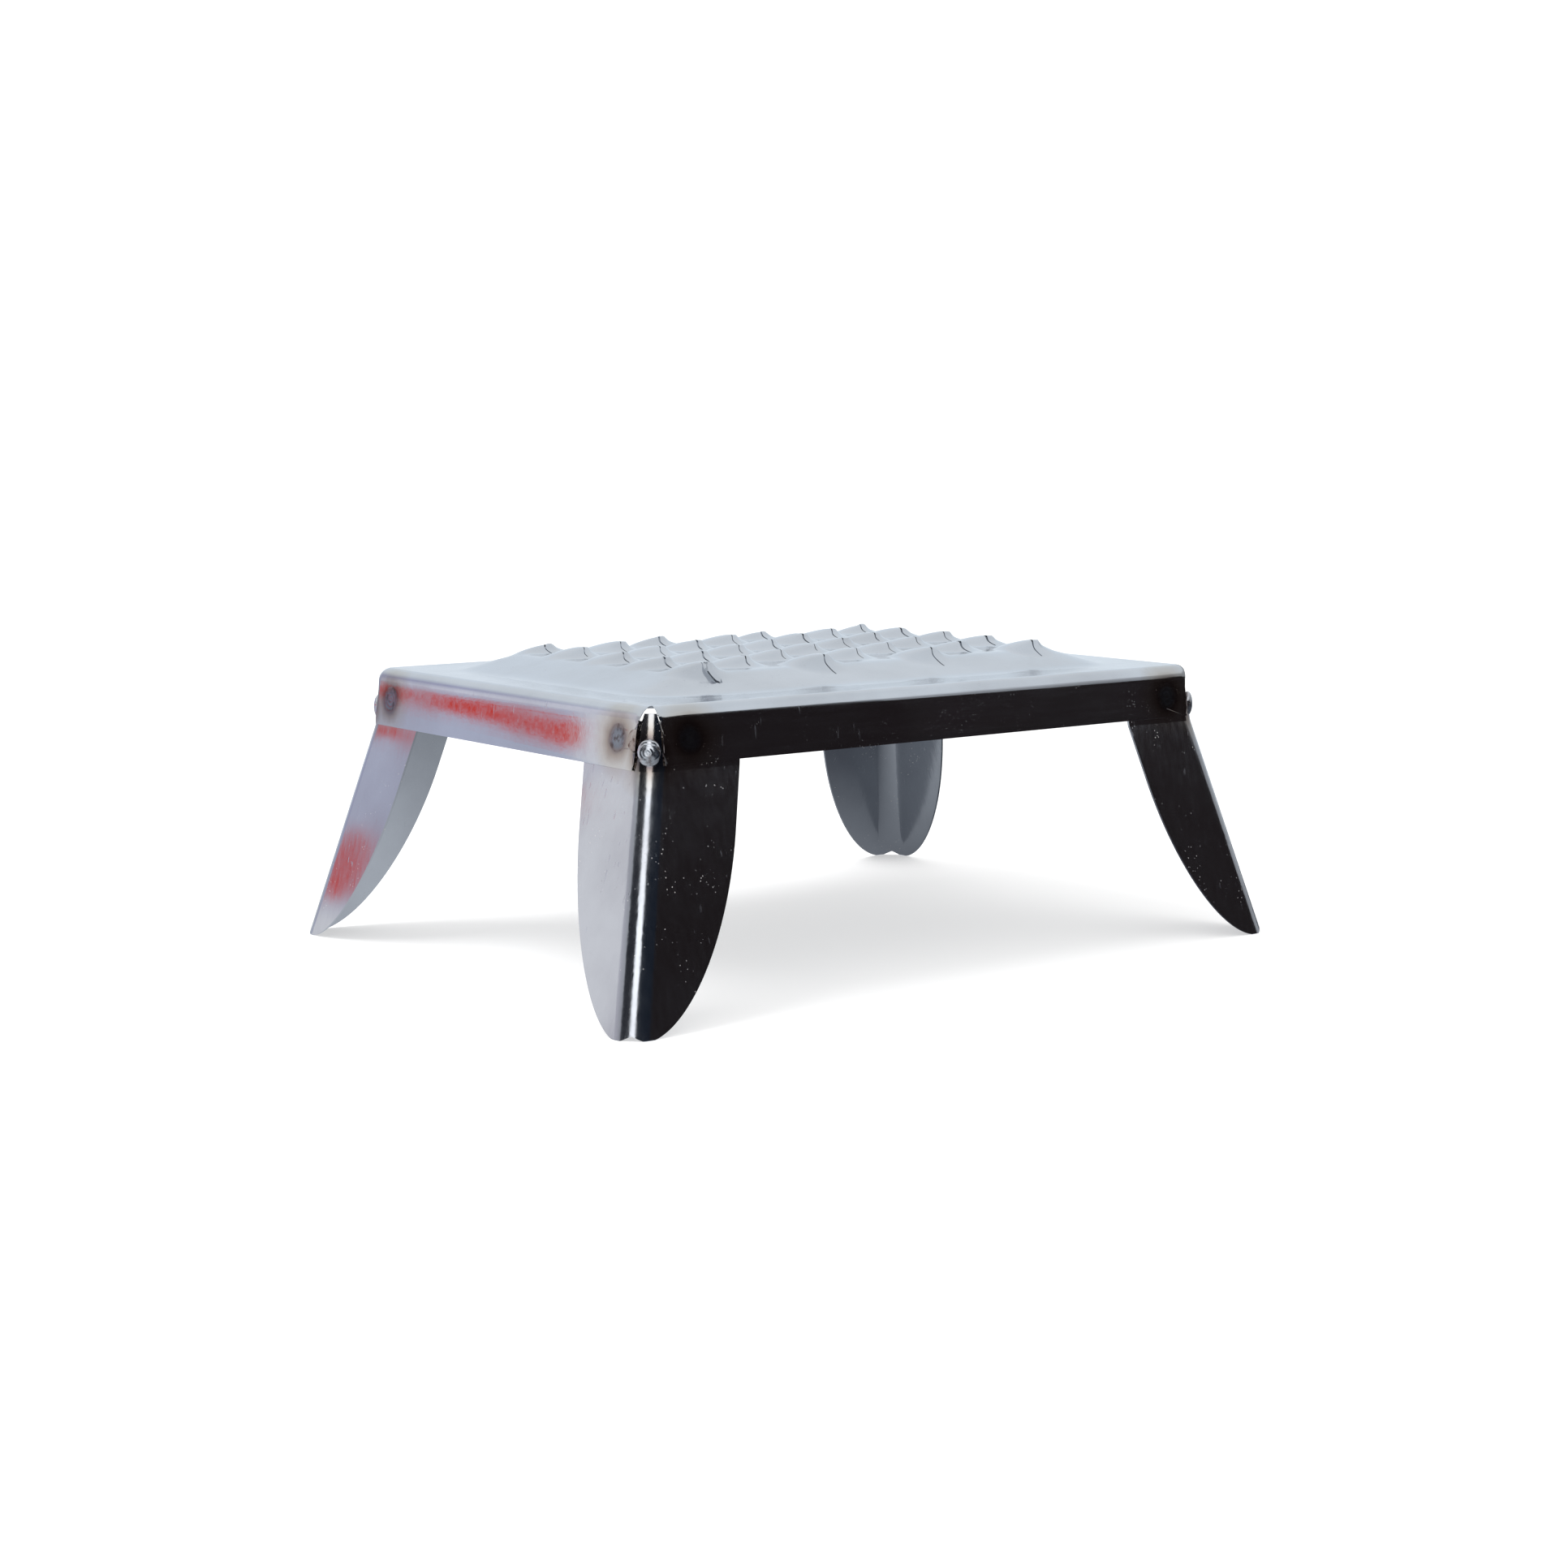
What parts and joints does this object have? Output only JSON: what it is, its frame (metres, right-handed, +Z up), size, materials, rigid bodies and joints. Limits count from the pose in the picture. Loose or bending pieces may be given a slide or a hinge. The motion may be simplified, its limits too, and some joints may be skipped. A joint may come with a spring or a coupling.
{
  "type": "spirit stove stand",
  "caption": "Sheet-steel stove stand: raised field of pierced grater-like teeth, flared skirt with notched corners, petal-shaped legs spot-welded inside the corners",
  "frame": {"origin": "middle of the footprint, on the ground the feet stand on", "axes": "+X along the long side of the plate, +Y along its short side, +Z up"},
  "size_m": [0.177, 0.138, 0.0654],
  "materials": {
    "plate_steel": "bright rolled sheet, fine grain and light scratches",
    "leg_steel": "bright rolled sheet, folded and lightly scuffed",
    "weld_metal": "heat-tinted weld, rippled"
  },
  "bodies": {
    "root": {"top_plate": "plate_steel", "leg_near": "leg_steel", "leg_left": "leg_steel", "leg_right": "leg_steel", "leg_far": "leg_steel", "spot_weld_near_short_side": "weld_metal", "spot_weld_near_long_side": "weld_metal", "spot_weld_left_short_side": "weld_metal", "spot_weld_left_long_side": "weld_metal", "spot_weld_right_short_side": "weld_metal", "spot_weld_right_long_side": "weld_metal", "spot_weld_far_short_side": "weld_metal", "spot_weld_far_long_side": "weld_metal", "spot_weld_near_notch": "weld_metal", "ridge_weld_near": "weld_metal", "ridge_weld_left": "weld_metal", "ridge_weld_right": "weld_metal", "ridge_weld_far": "weld_metal"}
  },
  "joints": []
}
